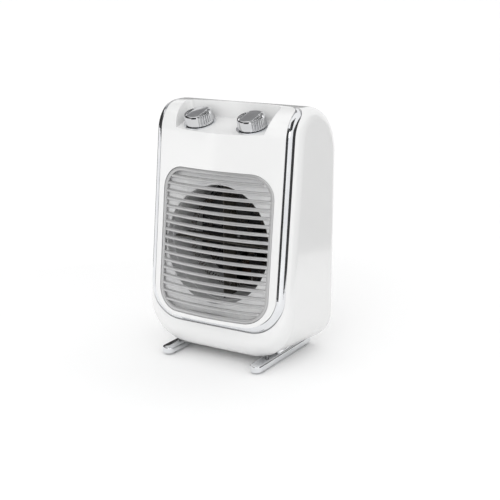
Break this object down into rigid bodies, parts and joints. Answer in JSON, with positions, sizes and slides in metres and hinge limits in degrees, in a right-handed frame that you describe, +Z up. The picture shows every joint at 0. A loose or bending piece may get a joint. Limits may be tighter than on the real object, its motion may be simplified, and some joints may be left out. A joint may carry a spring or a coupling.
{
  "type": "fan convector heater",
  "caption": "Upright domestic fan convector heater with a leaning front panel, slatted outlet grille, twin top dials, chrome edging and bar feet.",
  "frame": {"origin": "on the floor under the middle of the heater's outline", "axes": "+Z up, the outlet grille faces -Y, +X to the heater's left hand as seen from behind, which is the viewer's right from the front"},
  "size_m": [0.166, 0.1185, 0.2577],
  "materials": {
    "white_plastic": "gloss",
    "chrome": "polished",
    "grille_grey": "satin",
    "plate_white": "satin",
    "duct_grey": "matte",
    "liner_steel": "satin",
    "mica": "matte",
    "coil_wire": "heat stained",
    "black_plastic": "matte",
    "steel": "satin",
    "core_steel": "matte",
    "copper": "lacquered",
    "bronze": "oiled",
    "knob_chrome": "polished",
    "rubber_black": "matte",
    "wire_red": "matte",
    "wire_blue": "matte",
    "wire_white": "matte",
    "terminal_white": "matte"
  },
  "bodies": {
    "casing": {"main_housing": "white_plastic", "rear_cover": "white_plastic", "front_panel": "white_plastic", "chrome_trim": "chrome", "front_grille": "grille_grey", "duct_plate": "plate_white", "air_duct": "duct_grey", "duct_liner": "liner_steel", "mica_board_level": "mica", "mica_board_upright": "mica", "heating_coil_outer": "coil_wire", "heating_coil_inner": "coil_wire", "thermal_cutout": "steel", "thermal_fuse": "black_plastic", "motor_core": "core_steel", "motor_winding": "copper", "motor_front_bracket": "steel", "motor_rear_bracket": "steel", "bearing_bushes": "bronze", "motor_spider": "steel", "spider_screws": "steel", "motor_bolts": "steel", "motor_spacers": "steel", "thermostat_ring": "chrome", "selector_ring": "chrome", "thermostat_body": "terminal_white", "selector_body": "black_plastic", "control_bracket": "steel", "control_screws": "steel", "cover_screws": "steel", "foot_screws": "steel", "left_foot": "chrome", "right_foot": "chrome", "foot_pads": "rubber_black", "tip_switch_body": "black_plastic", "plunger_spring": "steel", "terminal_block": "terminal_white", "cord_gland": "rubber_black", "live_wire": "wire_red", "neutral_wire": "wire_blue", "element_wire": "wire_white", "motor_wire": "wire_white"},
    "thermostat": {"thermostat_knob": "knob_chrome", "thermostat_spindle": "steel"},
    "selector": {"selector_knob": "knob_chrome", "selector_spindle": "steel"},
    "fan": {"fan_impeller": "black_plastic", "motor_shaft": "steel", "motor_rotor": "core_steel"},
    "plunger": {"tip_switch_plunger": "terminal_white"}
  },
  "joints": [
    {"name": "thermostat_turn", "type": "hinge", "parent": "casing", "child": "thermostat", "pos_m": [-0.0303, -0.021, 0.2362], "axis": [0, 0.309, -0.9511], "range_deg": [0, 270]},
    {"name": "selector_turn", "type": "hinge", "parent": "casing", "child": "selector", "pos_m": [0.0303, -0.021, 0.2362], "axis": [0, 0.309, -0.9511], "range_deg": [0, 135]},
    {"name": "fan_spin", "type": "hinge", "parent": "casing", "child": "fan", "pos_m": [0, 0, 0.12], "axis": [0, -1, 0], "continuous": true},
    {"name": "plunger_slide", "type": "slide", "parent": "casing", "child": "plunger", "axis": [0, 0, -1], "range_m": [0, 0.005], "stiffness_N_per_m": 40, "springref_m": 0.006, "deforming": ["plunger_spring"]}
  ]
}
